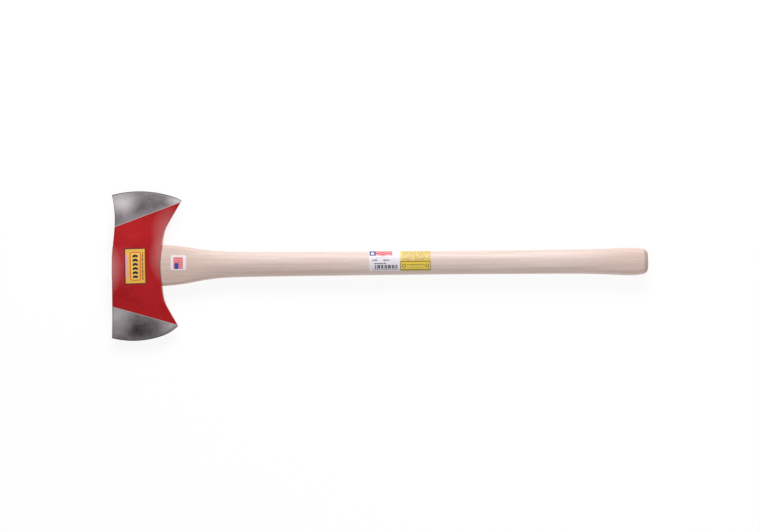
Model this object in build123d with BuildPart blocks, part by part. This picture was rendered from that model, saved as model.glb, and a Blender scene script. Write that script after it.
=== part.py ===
"""Double-bit axe: forged head, straight wooden handle, eye wedges and stuck-on labels.

The axe lies on one cheek. +X runs along the handle from the head to the knob, +Y runs from one
bit to the other and +Z points up out of the cheek. The origin is on the surface that the axe
lies on, below the middle of its length and midway between the two bits.
"""

import os
from math import asin, cos, degrees, pi, radians, sin, sqrt, tan

from build123d import *

os.makedirs("parts", exist_ok=True)

# Whole axe, mm
overall_length = 914.4
bit_span = 255.6
half_span = bit_span / 2
toe_overhang = 2.1  # the upper toe stands this far beyond the top of the eye
head_top_x = -overall_length / 2 + toe_overhang

# Head, mm. Distances along X in the head start from its top, where the eye opens.
cheek_thickness = 28.0
axis_height = cheek_thickness / 2
crown_height = 14.25  # half thickness before the flat lands are dressed
blade_half_thickness = 1.15  # just behind the sharpened bevel
taper_power = 1.9
rim_share = 0.88  # half thickness at the rims over half thickness on the centre line
rim_radius = 2.6
rim_round_share = 0.75  # on the thin blades the rims round off to this much of their half thickness
eye_length = 81.7
head_lean = 0.006  # the head hangs off square by this much X for each mm of Y
throat_radius = 300.0
flare_start = 50.0
flare_radius = 65.0
flare_angle = 30.2  # the underside runs out to the heels at this angle
top_flat = 20.0  # the top stays square this far out from the eye's middle
hollow_skew = 1.3  # above 1 moves the deepest part of the top's hollow outwards
toe_power = 2.5  # how late the top turns forward to the toes
section_places = (0, 18, 34, 46, 56, 65, 74, 84, 96, 110, 124, 138)  # the last is past the edges

# Bits: +Y bit first. Each is hand ground, so their edges differ.
bit_sides = (1, -1)
edge_apex = {1: 44.0, -1: 36.0}
edge_radius = {1: 180.0, -1: 150.0}
heel_start = {1: 110.0, -1: 83.0}  # where the edge's main arc gives way to its heel arc
heel_radius = {1: 32.0, -1: 74.0}
grind_turn = 70.0  # how far round each edge is ground, past its toe and past its heel
top_hollow = {1: 3.8, -1: 0.0}
toe_reach = {1: 4.2, -1: 0.6}
edge_half_thickness = 0.2
bevel_slope = 0.34  # rise of each side of the bevel over its depth
bevel_reach = 30.0  # the bevel's cutter goes this deep, well past where it leaves the cheeks

# Eye and tenon, mm: full width along Y, full thickness along Z
eye_width_top = 65.5
eye_width_bottom = 63.5
eye_thickness_top = 20.6
eye_thickness_bottom = 19.0
eye_end_share = 0.5
eye_space_ends = (-8.0, 94.0)  # the eye cutter overshoots the head by this much at each end
tenon_proud = 0.8
tenon_length = 90.5  # its root is buried this deep in the shoulder

# Handle ovals: distance from the head's top, how far off the axis the middle is bowed, width,
# thickness, end radius
handle_ovals = (
    (74.0, 0.1, 72.4, 24.0, 7.2),
    (100.0, 0.2, 68.3, 24.0, 7.4),
    (125.0, 0.4, 62.6, 24.3, 7.8),
    (150.0, 0.6, 54.1, 24.9, 8.2),
    (185.0, 0.8, 45.8, 25.8, 8.8),
    (225.0, 0.8, 43.0, 26.4, 9.2),
    (400.0, 0.9, 40.8, 26.8, 9.4),
    (560.0, 1.1, 40.0, 26.8, 9.5),
    (650.0, 1.1, 40.2, 26.8, 9.6),
    (760.0, 1.2, 41.0, 26.8, 9.8),
    (820.0, 1.1, 42.8, 27.0, 10.2),
    (860.0, 0.8, 45.8, 27.5, 11.4),
    (892.0, 0.5, 46.2, 27.8, 12.0),
    (918.0, 2.2, 35.0, 27.0, 12.2),
)
shoulder_gap = 0.15
shoulder_chamfer = 1.5
knob_round = 10.5

# Wedges, mm
kerf_depth = 62.0
kerf_thickness = 1.6
wood_wedge_depth = 52.0
wood_wedge_thickness = 7.0
steel_wedge_depth = 28.0
steel_wedge_width = 13.5
steel_wedge_thickness = 3.2
steel_wedge_tip = 0.8
steel_wedge_barb = 0.35
steel_wedge_steps = 4
steel_wedge_place = 16.0
steel_wedge_turn = 25.0
steel_wedge_sunk = 0.3  # its top sits this far below the end of the tenon

# Labels, mm: centre along X from the head's top, centre along Y, length along X, width along Y
label_thickness = 0.2
head_label_place = (39.8, -1.4)
head_label_size = (37.6, 62.6)
head_label_turn = 1.2
head_label_corner = 1.0
square_label_place = (113.0, 4.0)
square_label_size = (26.2, 26.0)
square_label_corner = 3.2
wrap_label_edge = -12.8
wrap_label_corner = 2.4
code_label_x = (436.8, 489.4)
advice_label_x = (490.0, 541.4)
reach = 60.0  # taller than any section, for cutting blocks


def lowered(place):
    """The X of a place measured from the head's top."""
    return head_top_x + place


def cheek_half_thickness(y):
    """Half thickness of the head on its centre line, at a distance y from the handle's axis."""
    share = min(abs(y) / half_span, 1.0)
    swell = crown_height - blade_half_thickness
    return blade_half_thickness + swell * cos(share * pi / 2) ** taper_power


def underside(y):
    """The head's underside, towards the handle, measured from the head's top."""
    out = abs(y)
    start_sine = flare_start / throat_radius
    end_sine = sin(radians(flare_angle))
    arc_end = flare_start + flare_radius * (end_sine - start_sine)
    rise = throat_radius - sqrt(throat_radius**2 - min(out, flare_start) ** 2)
    if out > flare_start:
        sine = start_sine + (min(out, arc_end) - flare_start) / flare_radius
        rise += flare_radius * (sqrt(1 - start_sine**2) - sqrt(1 - sine**2))
    if out > arc_end:
        rise += (out - arc_end) * tan(radians(flare_angle))
    return eye_length + rise + head_lean * y


def top_line(y):
    """The head's top outline: flat at the eye, hollow on the way out, then forward to each toe."""
    side = 1 if y > 0 else -1
    share = min(max((abs(y) - top_flat) / (half_span - top_flat), 0.0), 1.0)
    hollow = top_hollow[side] * sin(pi * share**hollow_skew)
    return hollow - toe_reach[side] * share**toe_power + head_lean * y


def across(x, off_axis=0):
    """A plane square to the handle: its own X is the axe's Y, its own Y is the axe's Z."""
    return Plane(origin=(lowered(x), off_axis, axis_height), x_dir=(0, 1, 0), z_dir=(1, 0, 0))


def lens_section(y, extra):
    """One slice of the head square to Y: crowned cheeks, straight sides, rounded rims."""
    centre = cheek_half_thickness(y) + extra
    rim = cheek_half_thickness(y) * rim_share + extra
    left, right = top_line(y), underside(y)
    middle = (left + right) / 2
    plane = Plane(origin=(head_top_x, y, axis_height), x_dir=(1, 0, 0), z_dir=(0, -1, 0))
    with BuildSketch(plane) as lens:
        with BuildLine():
            ThreePointArc((left, rim), (middle, centre), (right, rim))
            Line((right, rim), (right, -rim))
            ThreePointArc((right, -rim), (middle, -centre), (left, -rim))
            Line((left, -rim), (left, rim))
        make_face()
        fillet(vertices(), min(rim_radius, rim_round_share * rim))
    return lens.sketch


def oval_section(plane, width, thickness, end_radius):
    """A four-arc oval: two flat arcs along Y and two tight ones at its ends."""
    a, b, r = width / 2, thickness / 2, end_radius
    flat_radius = ((a - r) ** 2 + b**2 - r**2) / (2 * (b - r))
    lean = asin((a - r) / (flat_radius - r))
    touch_y = a - r + r * sin(lean)
    touch_z = r * cos(lean)
    with BuildSketch(plane) as oval:
        with BuildLine():
            ThreePointArc((-touch_y, touch_z), (0, b), (touch_y, touch_z))
            ThreePointArc((touch_y, touch_z), (a, 0), (touch_y, -touch_z))
            ThreePointArc((touch_y, -touch_z), (0, -b), (-touch_y, -touch_z))
            ThreePointArc((-touch_y, -touch_z), (-a, 0), (-touch_y, touch_z))
        make_face()
    return oval.sketch


# Head blank, and the same blank one label thicker

def head_blank(extra):
    """The forged shape before its edges are ground, with the lands dressed flat on both cheeks."""
    places = [-y for y in reversed(section_places[1:])] + list(section_places)
    with BuildPart() as blank:
        for y in places:
            add(lens_section(y, extra))
        loft()
        with BuildSketch(Plane.XY.offset(-extra)):
            Rectangle(overall_length * 2, bit_span * 2)
        extrude(amount=cheek_thickness + 2 * extra, mode=Mode.INTERSECT)
    return blank.part


bare_blank = head_blank(0)
label_height_blank = head_blank(label_thickness)


# Eye: the tapered oval hole, wider at the top so that the wedged tenon can't pull out

def eye_share(x, bottom, top):
    """A size of the eye at x, between its size at the underside and its size at the top."""
    return top + (bottom - top) * x / eye_length


with BuildPart() as eye_space:
    for place in eye_space_ends:
        thickness = eye_share(place, eye_thickness_bottom, eye_thickness_top)
        width = eye_share(place, eye_width_bottom, eye_width_top)
        add(oval_section(across(place), width, thickness, thickness / 2 * eye_end_share))
    loft()


# Head

def grind(centre_x, centre_y, radius, start, turn):
    """What sharpening takes off along one arc of an edge, from angle start through turn."""
    direction = (cos(radians(start)), sin(radians(start)), 0)
    square_to = (sin(radians(start)), -cos(radians(start)), 0)
    inner = radius - bevel_reach
    outer = radius + reach
    plane = Plane(origin=(centre_x, centre_y, axis_height), x_dir=direction, z_dir=square_to)
    with BuildPart() as ground_off:
        with BuildSketch(plane):
            with BuildLine():
                Polyline(
                    (radius, 0),
                    (radius, edge_half_thickness),
                    (inner, edge_half_thickness + bevel_reach * bevel_slope),
                    (inner, reach),
                    (outer, reach),
                    (outer, 0),
                    close=True,
                )
            make_face()
            mirror(about=Plane.XZ)
        revolve(axis=Axis((centre_x, centre_y, 0), (0, 0, 1)), revolution_arc=turn)
    return ground_off.part


with BuildPart() as axe_head:
    add(bare_blank)
    add(eye_space.part, mode=Mode.SUBTRACT)
    for side in bit_sides:
        apex, radius, small = edge_apex[side], edge_radius[side], heel_radius[side]
        centre_y = side * (half_span - radius)
        heel_turn = degrees(asin((heel_start[side] - apex) / radius))
        small_x = apex + (radius - small) * sin(radians(heel_turn))
        small_y = centre_y + side * (radius - small) * cos(radians(heel_turn))
        # angles run anticlockwise from +X, so the two bits meet their heels from opposite ends
        main_start = 90 - heel_turn if side > 0 else -90 - grind_turn
        heel_arc_start = 90 - heel_turn - grind_turn if side > 0 else -90 + heel_turn
        add(grind(lowered(apex), centre_y, radius, main_start, heel_turn + grind_turn), mode=Mode.SUBTRACT)
        add(grind(lowered(small_x), small_y, small, heel_arc_start, grind_turn), mode=Mode.SUBTRACT)
axe_head.part.label = "axe_head"
export_step(axe_head.part, "parts/axe_head.step")


# Steel wedges: barbed tapers driven aslant across the wooden wedge, one towards each bit

def steel_wedge_solid(side, above):
    """One steel wedge, or with above, the wedge and the space straight above its wide end."""
    step = steel_wedge_depth / steel_wedge_steps
    taper = (steel_wedge_thickness - steel_wedge_tip) / 2 / steel_wedge_depth
    top = steel_wedge_sunk - tenon_proud
    flank = [(top, steel_wedge_thickness / 2)]
    if above > 0:
        flank.insert(0, (top - above, steel_wedge_thickness / 2))
    for i in range(1, steel_wedge_steps):
        half = steel_wedge_thickness / 2 - taper * i * step
        flank.append((i * step - tenon_proud, half - steel_wedge_barb))
        flank.append((i * step - tenon_proud, half + steel_wedge_barb))
    flank.append((steel_wedge_depth - tenon_proud, steel_wedge_tip / 2))
    other_flank = [(x, -half) for x, half in reversed(flank)]
    turn = side * steel_wedge_turn
    wedge_plane = Plane(
        origin=(head_top_x, side * steel_wedge_place, axis_height),
        x_dir=(1, 0, 0),
        z_dir=(0, sin(radians(turn)), cos(radians(turn))),
    )
    with BuildPart() as wedge:
        with BuildSketch(wedge_plane):
            with BuildLine():
                Polyline(*flank, *other_flank, close=True)
            make_face()
        extrude(amount=steel_wedge_width / 2, both=True)
    return wedge.part


steel_wedge_names = {1: "upper_steel_wedge", -1: "lower_steel_wedge"}
steel_wedge_spaces = [steel_wedge_solid(side, reach) for side in bit_sides]
for side in bit_sides:
    with BuildPart() as steel_wedge:
        add(steel_wedge_solid(side, 0))
    steel_wedge.part.label = steel_wedge_names[side]
    export_step(steel_wedge.part, f"parts/{steel_wedge_names[side]}.step")


# Wooden wedge: fills the kerf across the whole eye and leaves a short empty slit below its tip

with BuildPart() as kerf_space:
    half_top = wood_wedge_thickness / 2
    half_slit = kerf_thickness / 2
    with BuildSketch(Plane.XZ.offset(-reach)):
        with BuildLine():
            Polyline(
                (lowered(-tenon_proud), axis_height - half_top),
                (lowered(wood_wedge_depth), axis_height - half_slit),
                (lowered(kerf_depth), axis_height - half_slit),
                (lowered(kerf_depth), axis_height + half_slit),
                (lowered(wood_wedge_depth), axis_height + half_slit),
                (lowered(-tenon_proud), axis_height + half_top),
                close=True,
            )
        make_face()
    extrude(amount=2 * reach)

with BuildPart() as wood_wedge:
    add(eye_space.part)
    add(kerf_space.part, mode=Mode.INTERSECT)
    split(bisect_by=across(wood_wedge_depth), keep=Keep.BOTTOM)
    for space in steel_wedge_spaces:
        add(space, mode=Mode.SUBTRACT)
wood_wedge.part.label = "wood_wedge"
export_step(wood_wedge.part, "parts/wood_wedge.step")


# Handle, and the same handle one label thicker

def handle_body(extra):
    """The shaved handle from inside the head to past the knob, as one smooth run of ovals."""
    with BuildPart() as body:
        for place, off_axis, width, thickness, end_radius in handle_ovals:
            plane = across(place, off_axis)
            add(oval_section(plane, width + 2 * extra, thickness + 2 * extra, end_radius + extra))
        loft()
    return body.part


bare_handle = handle_body(0)
label_height_handle = handle_body(label_thickness)

with BuildPart() as tenon:
    add(eye_space.part)
    with BuildSketch(across(-tenon_proud)):
        Rectangle(2 * reach, 2 * reach)
    extrude(amount=tenon_length, mode=Mode.INTERSECT)

with BuildPart() as handle:
    add(bare_handle)
    with BuildSketch(Plane.XY.offset(axis_height)):
        with BuildLine():
            Polyline(
                (lowered(underside(reach) + shoulder_gap), reach),
                (lowered(-reach), reach),
                (lowered(-reach), -reach),
                (lowered(underside(-reach) + shoulder_gap), -reach),
            )
            ThreePointArc(
                (lowered(underside(-reach) + shoulder_gap), -reach),
                (lowered(eye_length + shoulder_gap), 0),
                (lowered(underside(reach) + shoulder_gap), reach),
            )
        make_face()
    extrude(amount=reach, both=True, mode=Mode.SUBTRACT)
    chamfer(faces().sort_by(Axis.X)[0].edges(), shoulder_chamfer)
    split(bisect_by=across(overall_length - toe_overhang), keep=Keep.BOTTOM)
    fillet(faces().sort_by(Axis.X)[-1].edges(), knob_round)
    add(tenon.part)
    add(kerf_space.part, mode=Mode.SUBTRACT)
    for space in steel_wedge_spaces:
        add(space, mode=Mode.SUBTRACT)
handle.part.label = "handle"
export_step(handle.part, "parts/handle.step")


# Labels: thin films that follow the surface under them

def head_label_outline():
    """The head label's outline, on the cheek's own plane, turned slightly askew."""
    place_x, place_y = head_label_place
    plane = Plane(origin=(lowered(place_x), place_y, axis_height)).rotated((0, 0, head_label_turn))
    with BuildSketch(plane) as outline:
        RectangleRounded(*head_label_size, head_label_corner)
    return outline.sketch


with BuildPart() as head_label:
    add(label_height_blank)
    add(head_label_outline())
    extrude(amount=reach, mode=Mode.INTERSECT)
    add(bare_blank, mode=Mode.SUBTRACT)
head_label.part.label = "head_label"
export_step(head_label.part, "parts/head_label.step")

with BuildPart() as square_label:
    add(label_height_handle)
    with BuildSketch(Plane(origin=(lowered(square_label_place[0]), square_label_place[1], axis_height))):
        RectangleRounded(*square_label_size, square_label_corner)
    extrude(amount=reach, mode=Mode.INTERSECT)
    add(bare_handle, mode=Mode.SUBTRACT)
square_label.part.label = "square_label"
export_step(square_label.part, "parts/square_label.step")

wrap_labels = {"code_label": code_label_x, "advice_label": advice_label_x}
for name, (near, far) in wrap_labels.items():
    middle, length = lowered((near + far) / 2), far - near
    with BuildPart() as wrap_label:
        add(label_height_handle)
        with BuildSketch(Plane(origin=(middle, wrap_label_edge + reach / 2, axis_height))):
            RectangleRounded(length, reach, wrap_label_corner)
        extrude(amount=reach, mode=Mode.INTERSECT)
        with BuildSketch(Plane.XZ.offset(reach)):
            with Locations((middle, axis_height + reach / 2)):
                RectangleRounded(length, reach, wrap_label_corner)
        extrude(amount=-2 * reach, mode=Mode.INTERSECT)
        add(bare_handle, mode=Mode.SUBTRACT)
    wrap_label.part.label = name
    export_step(wrap_label.part, f"parts/{name}.step")
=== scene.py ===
"""Looks of the double-bit axe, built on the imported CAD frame."""

import math

import bpy
from mathutils import Matrix, Vector
from mathutils.bvhtree import BVHTree


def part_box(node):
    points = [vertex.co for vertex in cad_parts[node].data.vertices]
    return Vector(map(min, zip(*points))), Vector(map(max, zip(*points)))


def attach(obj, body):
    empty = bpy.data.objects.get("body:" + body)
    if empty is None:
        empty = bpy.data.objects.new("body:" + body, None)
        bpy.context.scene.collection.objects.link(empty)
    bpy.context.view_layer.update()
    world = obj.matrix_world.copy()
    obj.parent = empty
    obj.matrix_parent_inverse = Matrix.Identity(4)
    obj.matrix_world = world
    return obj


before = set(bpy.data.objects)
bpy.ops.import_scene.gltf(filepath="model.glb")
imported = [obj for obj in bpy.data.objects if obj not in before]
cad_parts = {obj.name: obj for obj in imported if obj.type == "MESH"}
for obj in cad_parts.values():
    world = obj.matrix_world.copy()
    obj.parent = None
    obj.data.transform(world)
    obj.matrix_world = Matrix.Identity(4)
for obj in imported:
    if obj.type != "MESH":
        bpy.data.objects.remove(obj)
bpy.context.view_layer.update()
MM = 0.001

# All lengths below are in mm. A place is measured along X from the head's top, where the eye opens.
TOE_OVERHANG = 2.1
head_low, head_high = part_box("axe_head")
HEAD_TOP_X = head_low.x / MM + TOE_OVERHANG
AXIS_HEIGHT = (head_low.z + head_high.z) / 2 / MM
HALF_SPAN = head_high.y / MM
GRIP_BOW = 1.0  # the grip's middle line lies this far off the axis, towards the upper bit

# Rough shape of the head, for laying the enamel films near the CAD surface
EYE_LENGTH = 81.7
THROAT_RADIUS = 300.0
FLARE_START = 50.0
FLARE_RADIUS = 65.0
FLARE_ANGLE = math.radians(30.2)
TOP_FLAT = 20.0
TOE_REACH = 2.0
TOE_POWER = 2.5
BLADE_HALF_THICKNESS = 1.15
CROWN_HEIGHT = 14.25
TAPER_POWER = 1.9
RIM_SHARE = 0.88
RIM_RADIUS = 2.6
RIM_ROUND_SHARE = 0.75

# Paint lines on the cheeks: place and Y, first at the top, then at the heel
UPPER_PAINT_LINE = ((4.6, 66.2), (114.9, 107.8))
LOWER_PAINT_LINE = ((-0.8, -69.1), (108.4, -100.6))

# Enamel films: how far their skins stand off the steel, and the grid they are made of
FILM_OUT = 0.1
FILM_IN = -0.05
LOWEST_FILM = -0.02  # the film under the lower land is squeezed by the axe's own weight
FILM_ROWS = 96
FILM_COLUMNS = 56
FILM_ARC_COLUMNS = 6  # columns spent on each rounded rim
FILM_ARC_TURN = math.radians(66.0)  # how far the film wraps round each rim
FILM_SETTLE_PASSES = 6  # the film's place and Y depend on each other, so they are found in turns

# Cutting edges, upper bit first: the main arc's and the heel arc's middle (place, Y) and radius,
# and the place where one gives way to the other
EDGE_ARCS = (
    ((44.0, -52.2, 180.0), (98.3, 85.9, 32.0), 110.0),
    ((36.0, 22.2, 150.0), (59.8, -50.0, 74.0), 83.0),
)
# Eye, half width and half thickness where its wall begins and ends, and how far in from the head's
# top and underside the wall counts as wall
EYE_HALF_WIDTH = (33.4, 33.0)
EYE_HALF_THICKNESS = (10.6, 10.3)
EYE_WALL_INSET = (0.8, 0.7)
# Painted reflections on the bits: soft lighter and darker patches where the ground steel would mirror
# the lamps and the dark between them; place, Y, reach along X, reach along Y, lighter (+) or darker (-)
PAINTED_REFLECTION_PATCHES = (
    (16.0, 110.0, 34.0, 26.0, 0.6),
    (8.0, 76.0, 26.0, 20.0, -0.12),
    (46.0, 98.0, 32.0, 26.0, -0.2),
    (78.0, 104.0, 54.0, 22.0, -0.16),
    (112.0, 112.0, 26.0, 16.0, 0.7),
    (8.0, -86.0, 32.0, 40.0, 0.42),
    (43.0, -110.0, 60.0, 34.0, -0.4),
    (106.0, -104.0, 30.0, 20.0, 0.36),
)
# Painted highlights on the enamel: hazy pale patches where the rims near the eye catch the lamps; place,
# Y, reach along X, reach along Y, strength
PAINTED_HIGHLIGHT_PATCHES = (
    (-3.0, -6.0, 21.0, 46.0, 0.62),
    (86.0, 14.0, 24.0, 44.0, 0.52),
    (95.0, 58.0, 30.0, 48.0, 0.42),
    (18.0, -2.0, 34.0, 40.0, 0.12),
)

# Wood: how the handle's end and shoulder differ from its middle
SHOULDER_CURVE = 1 / (2 * THROAT_RADIUS)
HANDLED_HEAD_END = (-60.0, -370.0, 0.45)  # X where hands' darkening starts, X where it is full, strength
HANDLED_KNOB_END = (300.0, 440.0, 0.36)

# Labels
HEAD_LABEL_TURN = math.radians(1.2)

# Camera, in metres: it looks down on the axe from nearly straight above
SENSOR_WIDTH = 36.0
VIEW_WIDTH = 1.296028  # what the camera takes in at the axe
CAMERA_DISTANCE = 3.0
CAMERA_ELEVATION = math.radians(86.0)
CAMERA_ROLL = math.radians(0.4645)
CAMERA_REACH = 20.0
AIM = Vector((0.00035, -0.0036, 0.014))

# Stage
FLOOR_HALF_SIZE = 12.0
FLOOR_GLOW = 0.86
WORLD_STRENGTH = 0.35
# Lights: name, place, size, power in watts; both face the origin
LIGHTS = (
    ("key", (0.1, 3.0, 1.9), (3.0, 1.4), 114),
    ("fill", (0.9, -1.6, 2.6), (2.4, 1.2), 22),
)


# ---------------------------------------------------------------- shader arithmetic


class Value:
    """A number that varies over a surface. Arithmetic on it adds math nodes."""

    def __init__(self, tree, socket):
        self.tree = tree
        self.socket = socket

    def math(self, operation, *others):
        node = self.tree.nodes.new("ShaderNodeMath")
        node.operation = operation
        for index, item in enumerate((self,) + others):
            if isinstance(item, Value):
                self.tree.links.new(item.socket, node.inputs[index])
            else:
                node.inputs[index].default_value = item
        return Value(self.tree, node.outputs[0])

    def __add__(self, other):
        return self.math("ADD", other)

    def __sub__(self, other):
        return self.math("SUBTRACT", other)

    def __mul__(self, other):
        return self.math("MULTIPLY", other)

    def __gt__(self, other):
        return self.math("GREATER_THAN", other)

    def __lt__(self, other):
        return self.math("LESS_THAN", other)

    def invert(self):
        return self.math("MULTIPLY_ADD", -1.0, 1.0)

    def largest(self, other):
        return self.math("MAXIMUM", other)

    def smallest(self, other):
        return self.math("MINIMUM", other)

    def size(self):
        return self.math("ABSOLUTE")

    def root(self):
        return self.math("SQRT")

    def wave(self, cycles, shift=0.0):
        """A sine of this value with the given cycles per unit."""
        return self.math("MULTIPLY_ADD", cycles * 2 * math.pi, shift * 2 * math.pi).math("SINE")

    def between(self, low, high):
        """1 where the value lies between low and high, 0 outside."""
        middle, half = (low + high) / 2, (high - low) / 2
        return (self - middle).size() < half

    def ramp(self, low, high):
        """0 at low, 1 at high, straight in between and held outside."""
        node = self.tree.nodes.new("ShaderNodeMapRange")
        self.tree.links.new(self.socket, node.inputs["Value"])
        node.inputs["From Min"].default_value = low
        node.inputs["From Max"].default_value = high
        return Value(self.tree, node.outputs["Result"])


def srgb(red, green, blue):
    """A colour given in display values, as the shader's linear colour."""
    linear = []
    for part in (red, green, blue):
        share = part / 255
        linear.append(share / 12.92 if share <= 0.04045 else ((share + 0.055) / 1.055) ** 2.4)
    return (*linear, 1.0)


class Look:
    """A node material under construction, with the surface's place in mm as x, y and z."""

    def __init__(self, name):
        self.material = bpy.data.materials.new(name)
        self.material.use_nodes = True
        self.tree = self.material.node_tree
        self.shader = self.tree.nodes["Principled BSDF"]
        place = self.tree.nodes.new("ShaderNodeTexCoord")
        split = self.tree.nodes.new("ShaderNodeSeparateXYZ")
        self.tree.links.new(place.outputs["Object"], split.inputs[0])
        self.x, self.y, self.z = (Value(self.tree, out) * (1 / MM) for out in split.outputs)
        self.normal = None

    def vector(self, x, y, z):
        node = self.tree.nodes.new("ShaderNodeCombineXYZ")
        for part, socket in zip((x, y, z), node.inputs):
            self.tree.links.new(part.socket, socket)
        return node.outputs[0]

    def noise(self, pitch, detail=3.0, rough=0.5, bend=0.0):
        """Cloudy noise between 0 and 1; pitch is the size of one cloud along x, y and z in mm."""
        node = self.tree.nodes.new("ShaderNodeTexNoise")
        place = self.vector(self.x * (1 / pitch[0]), self.y * (1 / pitch[1]), self.z * (1 / pitch[2]))
        self.tree.links.new(place, node.inputs["Vector"])
        node.inputs["Scale"].default_value = 1.0
        node.inputs["Detail"].default_value = detail
        node.inputs["Roughness"].default_value = rough
        node.inputs["Distortion"].default_value = bend
        return Value(self.tree, node.outputs[0])

    def specks(self, pitch, radius):
        """Scattered round specks: 1 at their middles, 0 from radius outwards, in cells of pitch mm."""
        node = self.tree.nodes.new("ShaderNodeTexVoronoi")
        place = self.vector(self.x * (1 / pitch[0]), self.y * (1 / pitch[1]), self.z * (1 / pitch[2]))
        self.tree.links.new(place, node.inputs["Vector"])
        node.inputs["Scale"].default_value = 1.0
        return Value(self.tree, node.outputs["Distance"]).ramp(radius, 0.0)

    def mix(self, factor, first, second):
        """A colour that goes from first to second as factor goes from 0 to 1."""
        node = self.tree.nodes.new("ShaderNodeMix")
        node.data_type = "RGBA"
        self.tree.links.new(factor.socket, node.inputs[0])
        for item, socket in ((first, node.inputs[6]), (second, node.inputs[7])):
            if isinstance(item, tuple):
                socket.default_value = item
            else:
                self.tree.links.new(item, socket)
        return node.outputs[2]

    def bump(self, height, depth):
        """Raises the surface by height (0 to 1) times depth in mm."""
        node = self.tree.nodes.new("ShaderNodeBump")
        node.inputs["Distance"].default_value = depth * MM
        self.tree.links.new(height.socket, node.inputs["Height"])
        if self.normal is not None:
            self.tree.links.new(self.normal, node.inputs["Normal"])
        self.normal = node.outputs["Normal"]

    def done(self, color, **parts):
        """Connects the colour, the bumps and other inputs, each a number or a Value."""
        self.tree.links.new(color, self.shader.inputs["Base Color"])
        if self.normal is not None:
            self.tree.links.new(self.normal, self.shader.inputs["Normal"])
        for name, part in parts.items():
            socket = self.shader.inputs[name.replace("_", " ")]
            if isinstance(part, Value):
                self.tree.links.new(part.socket, socket)
            else:
                socket.default_value = part
        return self.material


# ---------------------------------------------------------------- metal


def paint_gap_of(look):
    """How far inside the painted band of the head the surface lies; negative on the bare bits."""
    gaps = []
    for side, ((near, near_y), (far, far_y)) in ((1, UPPER_PAINT_LINE), (-1, LOWER_PAINT_LINE)):
        slope = (far_y - near_y) / (far - near)
        line = (look.x - (HEAD_TOP_X + near)) * slope + near_y
        gaps.append((look.y - line) * -side)
    return gaps[0].smallest(gaps[1])


def enamel_color(look):
    clouds = look.noise((60, 45, 60), 2.0)
    fine = look.noise((3.2, 3.2, 3.2), 3.0)
    base = look.mix(clouds.ramp(0.35, 0.65), srgb(166, 18, 24), srgb(182, 26, 32))
    base = look.mix(fine.ramp(0.45, 0.9) * 0.25, base, srgb(196, 70, 70))
    grain = look.noise((1.1, 1.1, 1.1), 2.0).ramp(0.2, 0.8) * 0.5 + 0.75
    # painted highlights: hazy pale patches on the enamel, broken up by a fine grain
    for place, middle_y, reach_x, reach_y, strength in PAINTED_HIGHLIGHT_PATCHES:
        painted_highlight = patch(look, place, middle_y, reach_x, reach_y) * grain * strength
        base = look.mix(painted_highlight, base, srgb(206, 150, 152))
    return base


def enamel_look():
    look = Look("red_enamel")
    fine = look.noise((3.2, 3.2, 3.2), 3.0)
    look.bump(look.noise((2.2, 2.2, 2.2), 2.0), 0.02)
    look.bump(look.specks((9.0, 9.0, 9.0), 0.06), 0.05)
    return look.done(enamel_color(look), Roughness=fine * 0.16 + 0.3, Specular_IOR_Level=0.16)


def patch(look, place, middle_y, reach_x, reach_y):
    """A soft oval patch: 1 in its middle, 0 from its rim outwards."""
    across = (look.x - (HEAD_TOP_X + place)) * (1 / reach_x)
    along = (look.y - middle_y) * (1 / reach_y)
    return (across * across + along * along).root().ramp(1.0, 0.0)


def edge_gap_of(look):
    """How far inside the nearer cutting edge the surface lies."""
    place = look.x - HEAD_TOP_X
    gaps = []
    for main, heel, heel_start in EDGE_ARCS:
        arcs = []
        for middle, middle_y, radius in (main, heel):
            across, along = place - middle, look.y - middle_y
            arcs.append((across * across + along * along).root() * -1.0 + radius)
        gaps.append(arcs[0] + (arcs[1] - arcs[0]) * (place > heel_start))
    upper, lower = gaps
    return lower + (upper - lower) * (look.y > 0.0)


def facing(look, axis):
    """How squarely the surface faces along X, Y or Z, either way: 0 to 1."""
    shape = look.tree.nodes.new("ShaderNodeNewGeometry")
    split = look.tree.nodes.new("ShaderNodeSeparateXYZ")
    look.tree.links.new(shape.outputs["Normal"], split.inputs[0])
    return Value(look.tree, split.outputs[axis]).size()


def eye_wall_of(look):
    """1 on the bare forged wall of the eye."""
    top_inset, bottom_inset = EYE_WALL_INSET
    inside = (look.x - HEAD_TOP_X).between(top_inset, EYE_LENGTH - bottom_inset)
    wide = look.y.size().ramp(*EYE_HALF_WIDTH)
    thick = (look.z - AXIS_HEIGHT).size().ramp(*EYE_HALF_THICKNESS)
    return inside * (wide * thick) * facing(look, "X").ramp(0.6, 0.3)


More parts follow.
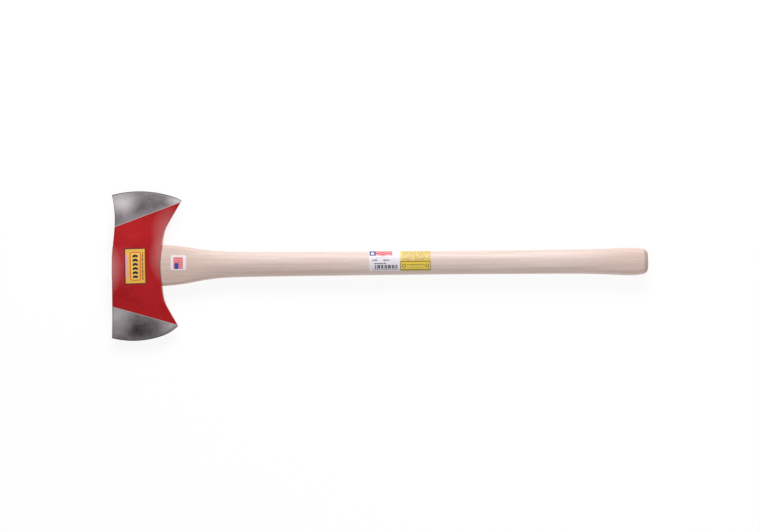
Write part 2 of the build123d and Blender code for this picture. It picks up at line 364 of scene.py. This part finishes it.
def steel_look():
    """Ground bits, and enamel where the head is painted but the film does not reach: rims and sides."""
    look = Look("ground_steel")
    paint_gap = paint_gap_of(look)
    painted = paint_gap.ramp(-0.05, 0.05)
    clouds = look.noise((26, 20, 26), 3.0, 0.55, 0.6).ramp(0.3, 0.7)
    grit = look.noise((0.45, 12.0, 0.45), 2.0, 0.7, 0.4).ramp(0.3, 0.7)
    speckle = look.noise((1.1, 1.6, 1.1), 3.0, 0.7).ramp(0.3, 0.7)
    tone_and_reflections = clouds * 0.1 + grit * 0.2 + speckle * 0.12 + 0.16
    # painted reflections: lighter and darker patches laid over the steel's own cloudy grind, grit and
    # speckle
    for place, middle_y, reach_x, reach_y, strength in PAINTED_REFLECTION_PATCHES:
        tone_and_reflections = tone_and_reflections + patch(look, place, middle_y, reach_x, reach_y) * strength
    steel = look.mix(tone_and_reflections.ramp(0.0, 1.0), srgb(68, 58, 64), srgb(228, 221, 224))
    edge_gap = edge_gap_of(look)
    honed = edge_gap.ramp(3.0, 2.6).largest(facing(look, "Z").ramp(0.985, 0.96))
    steel = look.mix(honed * 0.5, steel, srgb(112, 108, 112))
    # painted shade: a dark band along the cutting edges
    steel = look.mix(edge_gap.ramp(1.8, 1.2) * 0.7, steel, srgb(52, 44, 48))
    bright_line = paint_gap.ramp(-1.8, -0.9) * painted.invert()
    steel = look.mix(bright_line * 0.45, steel, srgb(206, 214, 208))
    color = look.mix(painted, steel, enamel_color(look))
    color = look.mix(eye_wall_of(look) * painted, color, srgb(86, 78, 74))
    look.bump(grit, 0.012)
    look.bump(speckle, 0.006)
    # painted shade darkens the enamelled sides against the cheeks; a painted highlight lightens the
    # underside of the upper bit
    sides = painted * facing(look, "Z").ramp(0.5, 0.1)
    lit_underside = sides * (look.x > HEAD_TOP_X + EYE_LENGTH / 2) * look.y.ramp(8.0, 40.0)
    color = look.mix((sides - lit_underside) * 0.25, color, srgb(70, 12, 16))
    color = look.mix(lit_underside * 0.6, color, srgb(222, 176, 178))
    metal = painted.invert() * (honed * -0.35 + 0.72)
    rough = painted.invert() * (clouds * 0.1 + honed * 0.12 + 0.12) + 0.36
    return look.done(color, Roughness=rough, Metallic=metal, Specular_IOR_Level=0.3)


def wedge_steel_look():
    look = Look("wedge_steel")
    clouds = look.noise((3.0, 3.0, 3.0), 4.0, 0.6)
    rust = look.noise((1.6, 1.6, 1.6), 3.0, 0.6).ramp(0.55, 0.75)
    color = look.mix(clouds, srgb(84, 82, 82), srgb(150, 148, 146))
    color = look.mix(rust * 0.5, color, srgb(112, 74, 52))
    look.bump(clouds, 0.12)
    return look.done(color, Metallic=rust.invert() * 0.85, Roughness=clouds * 0.3 + 0.35)


# ---------------------------------------------------------------- wood


def wood_look(name, pale, dark, ring_pitch, heart_z):
    """Lengthwise grain round a heart below the piece, with long pores that open out on end grain."""
    look = Look(name)
    drift = look.noise((240.0, 30.0, 30.0), 2.0)
    bend_y = look.y + drift * 9.0
    depth = look.z - heart_z + drift * 5.0
    radius = (bend_y * bend_y * 0.35 + depth * depth).root()
    rings = (radius * (1 / ring_pitch)).math("FRACT")
    late = rings.ramp(0.45, 0.95) * rings.ramp(1.0, 0.95)
    fibre = look.noise((34.0, 0.55, 0.55), 3.0, 0.6)
    streaks = look.noise((150.0, 3.6, 3.6), 3.0, 0.55)
    pores = look.specks((16.0, 0.85, 0.85), 0.3) * late.ramp(0.1, 0.6)
    color = look.mix(streaks.ramp(0.3, 0.7), pale, dark)
    end = facing(look, "X").ramp(0.5, 0.95)
    color = look.mix(late * (end * 0.6 + 0.2), color, dark)
    color = look.mix(late * end * 0.35, color, srgb(120, 86, 66))
    fleck = look.noise((5.0, 0.7, 0.7), 2.0, 0.6)
    color = look.mix(fibre.ramp(0.45, 0.75) * 0.26, color, srgb(180, 142, 126))
    color = look.mix(fleck.ramp(0.5, 0.75) * 0.24, color, srgb(176, 140, 128))
    color = look.mix(pores * 0.5, color, srgb(150, 112, 92))
    look.bump(fibre, 0.03)
    look.bump(pores.invert(), 0.06)
    return look, color, streaks


def handle_look():
    pale, dark = srgb(233, 217, 209), srgb(217, 192, 182)
    look, color, streaks = wood_look("hickory", pale, dark, 3.4, -34.0)
    end = facing(look, "X").ramp(0.1, 0.65)
    color = look.mix(end * 0.75, color, srgb(156, 120, 106))
    handled = [
        look.x.ramp(start, full) * strength
        for start, full, strength in (HANDLED_HEAD_END, HANDLED_KNOB_END)
    ]
    color = look.mix(handled[0].largest(handled[1]), color, srgb(206, 174, 160))
    shoulder_gap = look.x - HEAD_TOP_X - (look.y * look.y * SHOULDER_CURVE) - EYE_LENGTH
    color = look.mix(shoulder_gap.ramp(2.2, 1.4) * 0.5, color, srgb(242, 228, 218))
    return look.done(color, Roughness=streaks * 0.14 + 0.4, Coat_Weight=0.12, Coat_Roughness=0.35)


def wedge_wood_look():
    pale, dark = srgb(196, 156, 116), srgb(150, 108, 72)
    look, color, streaks = wood_look("wedge_hardwood", pale, dark, 1.6, -10.0)
    return look.done(color, Roughness=streaks * 0.2 + 0.55)


# ---------------------------------------------------------------- labels


def block(across, along, left, right, low, high):
    """1 inside a rectangle."""
    return across.between(left, right) * along.between(low, high)


def rounded(across, along, half_width, half_height, corner):
    """Signed distance to a rounded rectangle about the origin, negative inside."""
    gap_x = across.size() - (half_width - corner)
    gap_y = along.size() - (half_height - corner)
    out_x, out_y = gap_x.largest(0.0), gap_y.largest(0.0)
    outside = (out_x * out_x + out_y * out_y).root()
    return outside + gap_x.largest(gap_y).smallest(0.0) - corner


def bars(along, pitches, level):
    """Irregular bars: 1 where a few sines of different pitch add up to more than level."""
    total = along.wave(1 / pitches[0])
    for index, pitch in enumerate(pitches[1:]):
        total = total + along.wave(1 / pitch, 0.3 * (index + 1))
    return total > level


def middle_of(name):
    """The middle of a label's box."""
    low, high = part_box(name)
    return (low + high) / 2 / MM


def printed(look, paper, gloss):
    """Finishes a label: paper fibre in the colour and surface, and a slight gloss."""
    fibre = look.noise((0.9, 0.9, 0.9), 3.0, 0.6)
    smudge = look.noise((14.0, 11.0, 14.0), 2.0)
    color = look.mix(fibre.ramp(0.4, 0.8) * 0.16, paper, srgb(150, 140, 130))
    color = look.mix(smudge.ramp(0.5, 0.8) * 0.12, color, srgb(120, 100, 90))
    look.bump(fibre, 0.02)
    return look.done(color, Roughness=smudge * 0.2 + gloss)


def head_label_look():
    """Yellow, with arrows in a rounded frame, a violet strip and a thin broken line."""
    look = Look("head_label_print")
    middle = middle_of("head_label")
    across, along = look.x - middle.x, look.y - middle.y
    x = across * math.cos(HEAD_LABEL_TURN) + along * math.sin(HEAD_LABEL_TURN)
    y = along * math.cos(HEAD_LABEL_TURN) - across * math.sin(HEAD_LABEL_TURN)
    paper = look.mix(look.noise((9, 9, 9), 2.0), srgb(244, 196, 62), srgb(232, 182, 76))
    frame_gap = rounded(x - 0.6, y + 0.2, 8.6, 23.6, 3.4)
    paper = look.mix(frame_gap < 0.0, paper, srgb(250, 206, 92))
    paper = look.mix(frame_gap.size() < 0.85, paper, srgb(226, 88, 34))
    arrow = (y * (1 / 7.1) + 0.02).math("FRACT") - 0.5
    chevron = (arrow + (x - 0.2).size() * 0.05).between(-0.28, 0.34)
    marks = chevron * block(x, y, -4.2, 4.6, -20.4, 20.4)
    paper = look.mix(marks, paper, srgb(30, 20, 22))
    paper = look.mix(block(x, y, 6.0, 7.3, -19.0, 10.0), paper, srgb(226, 128, 56))
    violet = block(x, y, -14.9, -12.2, -20.8, 19.7) * (y.wave(1 / 3.2) > -0.8)
    paper = look.mix(violet, paper, srgb(232, 150, 236))
    thin = block(x, y, 11.9, 13.7, -24.0, 23.0) * bars(y, (3.9, 2.3, 6.3), -0.9)
    paper = look.mix(thin, paper, srgb(78, 54, 24))
    border = rounded(x, y, 18.8, 31.3, 1.0)
    paper = look.mix(border.ramp(-2.5, -2.1), paper, srgb(118, 0, 22))
    return printed(look, paper, 0.3)


def square_label_look():
    """White, with a striped field that has a blue corner."""
    look = Look("square_label_print")
    middle = middle_of("square_label")
    x, y = look.x - middle.x, look.y - middle.y
    paper = look.mix(look.noise((9, 9, 9), 2.0), srgb(244, 240, 244), srgb(232, 228, 236))
    stripes = y.wave(1 / 3.4) > -0.25
    field = look.mix(stripes, srgb(246, 176, 176), srgb(230, 82, 92))
    paper = look.mix(block(x, y, -8.6, 7.6, -10.6, 9.4), paper, field)
    paper = look.mix(block(x, y, -6.6, 0.2, -10.9, -0.6), paper, srgb(28, 66, 166))
    return printed(look, paper, 0.32)


def code_label_look():
    """White, with a blue panel, a rippled striped banner, broken lines and a row of bars."""
    look = Look("code_label_print")
    x, y = look.x, look.y - GRIP_BOW
    paper = look.mix(look.noise((12, 9, 12), 2.0), srgb(240, 236, 242), srgb(226, 220, 232))
    front = look.z > AXIS_HEIGHT - 1
    panel = block(x, y, -17.2, -6.6, 12.2, 24.0) * front
    oval_x, oval_y = (x + 12.2) * 0.34, (y - 16.2) * 0.5
    oval = oval_x * oval_x + oval_y * oval_y
    paper = look.mix(panel, paper, srgb(58, 56, 130))
    paper = look.mix(panel * (oval < 1.0), paper, srgb(244, 244, 248))
    ripple = y + x.wave(1 / 19.0) * 0.9
    banner = block(x, ripple, -6.6, 21.4, 12.0, 24.0) * front
    stripes = ripple.wave(1 / 4.1, 0.55) > -0.35
    banner_color = look.mix(stripes, srgb(238, 158, 168), srgb(222, 84, 98))
    paper = look.mix(banner, paper, banner_color)
    ink = srgb(48, 42, 52)
    faint = block(x, y, -8.0, 16.0, 8.4, 9.4) * bars(x, (2.3, 1.3, 4.1), -0.2) * 0.35
    two_words = (x.between(-13.4, -4.0) + x.between(5.4, 17.2)) * y.between(3.4, 5.4)
    first = two_words * bars(x, (2.9, 1.6, 4.7), -0.8)
    second = block(x, y, -9.0, 10.4, -2.2, -0.6) * bars(x, (3.3, 1.9, 5.9), -1.2)
    code = block(x, y, -8.0, 29.6, -9.8, -3.8) * bars(x, (2.3, 3.7, 6.1), -0.3)
    digits = block(x, y, -10.6, 31.6, -12.0, -10.4) * bars(x, (2.1, 1.2, 3.3), -0.4) * 0.7
    for mark in (faint, first, second, code * 0.95, digits):
        paper = look.mix(mark, paper, ink)
    return printed(look, paper, 0.32)


def advice_label_look():
    """Yellow, speckled above, with a framed box of two rings and broken lines below."""
    look = Look("advice_label_print")
    x, y = look.x, look.y - GRIP_BOW
    paper = look.mix(look.noise((10, 8, 10), 2.0), srgb(224, 194, 78), srgb(208, 174, 60))
    slant = (x + y * 0.75 + look.noise((5.0, 4.0, 5.0), 2.0) * 9.0).wave(1 / 4.7)
    rows = y.wave(1 / 3.3)
    flecks = look.noise((2.2, 1.9, 2.2), 2.0).ramp(0.42, 0.56) * (slant * rows > 0.1)
    upper = y > 3.0
    paper = look.mix(flecks * upper * 0.9, paper, srgb(250, 232, 186))
    shade_flecks = look.noise((1.9, 2.4, 1.9), 2.0).ramp(0.44, 0.56) * (slant * rows < -0.1)
    paper = look.mix(shade_flecks * upper * 0.85, paper, srgb(166, 124, 40))
    paper = look.mix(x.between(34.9, 37.4) * upper * 0.7, paper, srgb(240, 228, 96))
    box = rounded(x - 60.6, y + 5.2, 25.4, 6.9, 0.8)
    paper = look.mix(box < -0.4, paper, srgb(234, 206, 62))
    paper = look.mix(box.size() < 0.6, paper, srgb(112, 84, 22))
    ink = srgb(120, 84, 28)
    ring_y = y + 5.4
    for ring_middle in (41.0, 80.6):
        ring_x = x - ring_middle
        reach = (ring_x * ring_x + ring_y * ring_y).root()
        paper = look.mix((reach - 2.6).size() < 0.55, paper, ink)
    first = block(x, y, 45.6, 76.0, -4.6, -3.0) * bars(x, (3.3, 1.9, 5.9), -1.2)
    second = block(x, y, 50.6, 71.0, -8.8, -7.6) * bars(x, (2.9, 1.7, 5.1), -0.7)
    paper = look.mix(first * 0.8, paper, ink)
    paper = look.mix(second * 0.5, paper, ink)
    return printed(look, paper, 0.3)


# ---------------------------------------------------------------- enamel film


def line_y(line, place):
    """Y of a paint line at a place."""
    (near, near_y), (far, far_y) = line
    return near_y + (place - near) * (far_y - near_y) / (far - near)


def surface_of(node):
    """A CAD node's surface, for finding the nearest point on it."""
    mesh = node.data
    points = [node.matrix_world @ vertex.co for vertex in mesh.vertices]
    return BVHTree.FromPolygons(points, [tuple(face.vertices) for face in mesh.polygons])


def head_outline(y):
    """The head's rough top and underside at y, as places; the CAD surface corrects them."""
    out = abs(y)
    top = -TOE_REACH * (max(out - TOP_FLAT, 0) / (HALF_SPAN - TOP_FLAT)) ** TOE_POWER
    underside = EYE_LENGTH + min(out, FLARE_START) ** 2 / (2 * THROAT_RADIUS)
    if out > FLARE_START:
        start_sine, end_sine = FLARE_START / THROAT_RADIUS, math.sin(FLARE_ANGLE)
        sine = min((out - FLARE_START) / FLARE_RADIUS + start_sine, end_sine)
        underside += FLARE_RADIUS * (math.sqrt(1 - start_sine**2) - math.sqrt(1 - sine**2))
        straight = out - FLARE_START - FLARE_RADIUS * (end_sine - start_sine)
        underside += max(straight, 0) * math.tan(FLARE_ANGLE)
    return top, underside


def rough_half_thickness(y):
    """The head's rough half thickness on its centre line at y."""
    swell = math.cos(min(abs(y) / HALF_SPAN, 1) * math.pi / 2) ** TAPER_POWER
    return BLADE_HALF_THICKNESS + (CROWN_HEIGHT - BLADE_HALF_THICKNESS) * swell


def film_point(row, column, face):
    """A point near the cheek: row runs from the lower to the upper paint line, column from the
    head's top to its underside."""
    last = FILM_COLUMNS - 1
    share = row / (FILM_ROWS - 1)
    place = EYE_LENGTH * column / last
    for _ in range(FILM_SETTLE_PASSES):
        low, high = line_y(LOWER_PAINT_LINE, place), line_y(UPPER_PAINT_LINE, place)
        y = low + (high - low) * share
        top, underside = head_outline(y)
        half = rough_half_thickness(y)
        rim = half * RIM_SHARE
        corner = min(RIM_RADIUS, RIM_ROUND_SHARE * rim)
        if column < FILM_ARC_COLUMNS:
            turn = FILM_ARC_TURN * (FILM_ARC_COLUMNS - column) / FILM_ARC_COLUMNS
            place = top + corner - corner * math.sin(turn)
            rise = rim - corner + corner * math.cos(turn)
        elif column > last - FILM_ARC_COLUMNS:
            turn = FILM_ARC_TURN * (column - last + FILM_ARC_COLUMNS) / FILM_ARC_COLUMNS
            place = underside - corner + corner * math.sin(turn)
            rise = rim - corner + corner * math.cos(turn)
        else:
            along = (column - FILM_ARC_COLUMNS) / (last - 2 * FILM_ARC_COLUMNS)
            place = top + corner + (underside - top - 2 * corner) * along
            rise = rim + (half - rim) * (1 - (2 * along - 1) ** 2)
    return Vector((HEAD_TOP_X + place, y, AXIS_HEIGHT + face * rise)) * MM


def film_border():
    """The grid's outermost points, in order round it."""
    last_row = (FILM_ROWS - 1) * FILM_COLUMNS
    border = list(range(FILM_COLUMNS))
    border += [row * FILM_COLUMNS + FILM_COLUMNS - 1 for row in range(1, FILM_ROWS)]
    border += [last_row + column for column in range(FILM_COLUMNS - 2, -1, -1)]
    border += [row * FILM_COLUMNS for row in range(FILM_ROWS - 2, 0, -1)]
    return border


def enamel_film(name, face, surface):
    """A thin coat over one cheek and its rims, wrapped on the forging and closed along its edges."""
    outer, inner = [], []
    for row in range(FILM_ROWS):
        for column in range(FILM_COLUMNS):
            rough = film_point(row, column, face)
            foot, normal, _, _ = surface.find_nearest(rough)
            if normal.z * face < 0:
                normal = -normal
            skin = foot + normal * FILM_OUT * MM
            skin.z = max(skin.z, LOWEST_FILM * MM)
            outer.append(skin)
            inner.append(foot + normal * FILM_IN * MM)
    count = len(outer)
    faces = []
    for row in range(FILM_ROWS - 1):
        for column in range(FILM_COLUMNS - 1):
            a = row * FILM_COLUMNS + column
            quad = (a, a + 1, a + 1 + FILM_COLUMNS, a + FILM_COLUMNS)
            faces.append(quad)
            faces.append(tuple(count + i for i in reversed(quad)))
    border = film_border()
    for a, b in zip(border, border[1:] + border[:1]):
        faces.append((b, a, count + a, count + b))
    if face < 0:
        faces = [tuple(reversed(quad)) for quad in faces]
    mesh = bpy.data.meshes.new(name)
    mesh.from_pydata([tuple(p) for p in outer + inner], [], faces)
    mesh.shade_smooth()
    rim_points = set(border)
    for edge in mesh.edges:
        a, b = edge.vertices
        on_rim = {a % count, b % count} <= rim_points
        edge.use_edge_sharp = on_rim and (a < count) == (b < count)
    film = bpy.data.objects.new(name, mesh)
    bpy.context.scene.collection.objects.link(film)
    film.data.materials.append(looks["enamel"])
    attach(film, "root")


# ---------------------------------------------------------------- stage


def make_camera():
    data = bpy.data.cameras.new("camera")
    data.sensor_width = SENSOR_WIDTH
    data.sensor_fit = "HORIZONTAL"
    data.lens = SENSOR_WIDTH * CAMERA_DISTANCE / VIEW_WIDTH
    data.clip_end = CAMERA_REACH
    camera = bpy.data.objects.new("camera", data)
    bpy.context.scene.collection.objects.link(camera)
    back = Vector((0, -math.cos(CAMERA_ELEVATION), math.sin(CAMERA_ELEVATION)))
    camera.location = AIM + back * CAMERA_DISTANCE
    turn = back.to_track_quat("Z", "Y").to_matrix()
    roll = Matrix.Rotation(-CAMERA_ROLL, 3, "Z")
    camera.rotation_euler = (turn @ roll).to_euler()
    bpy.context.scene.camera = camera


def make_floor():
    """A plain pale floor that glows a little, so that the shadows on it stay faint."""
    size = FLOOR_HALF_SIZE
    mesh = bpy.data.meshes.new("floor")
    corners = [(-size, -size, 0), (size, -size, 0), (size, size, 0), (-size, size, 0)]
    mesh.from_pydata(corners, [], [(0, 1, 2, 3)])
    floor = bpy.data.objects.new("floor", mesh)
    bpy.context.scene.collection.objects.link(floor)
    look = Look("floor")
    color = look.mix(look.noise((900, 900, 900), 1.0), srgb(104, 104, 104), srgb(107, 107, 107))
    white = (1, 1, 1, 1)
    glow = look.done(color, Roughness=0.9, Emission_Color=white, Emission_Strength=FLOOR_GLOW)
    floor.data.materials.append(glow)


def area_light(name, place, size, power):
    data = bpy.data.lights.new(name, "AREA")
    data.shape = "RECTANGLE"
    data.size, data.size_y = size
    data.energy = power
    light = bpy.data.objects.new(name, data)
    light.location = place
    light.rotation_euler = (-Vector(place)).to_track_quat("-Z", "Y").to_euler()
    bpy.context.scene.collection.objects.link(light)


def make_world():
    world = bpy.data.worlds.new("world")
    bpy.context.scene.world = world
    world.use_nodes = True
    background = world.node_tree.nodes["Background"]
    background.inputs["Color"].default_value = (1, 1, 1, 1)
    background.inputs["Strength"].default_value = WORLD_STRENGTH


looks = {
    "axe_head": steel_look(),
    "handle": handle_look(),
    "wood_wedge": wedge_wood_look(),
    "steel_wedge": wedge_steel_look(),
    "head_label": head_label_look(),
    "square_label": square_label_look(),
    "code_label": code_label_look(),
    "advice_label": advice_label_look(),
    "enamel": enamel_look(),
}
for name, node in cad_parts.items():
    node.data.materials.clear()
    node.data.materials.append(looks.get(name, looks["steel_wedge"]))

head_surface = surface_of(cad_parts["axe_head"])
enamel_film("front_enamel", 1, head_surface)
enamel_film("back_enamel", -1, head_surface)

make_camera()
make_floor()
for light in LIGHTS:
    area_light(*light)
make_world()
bpy.context.scene.view_settings.view_transform = "Standard"
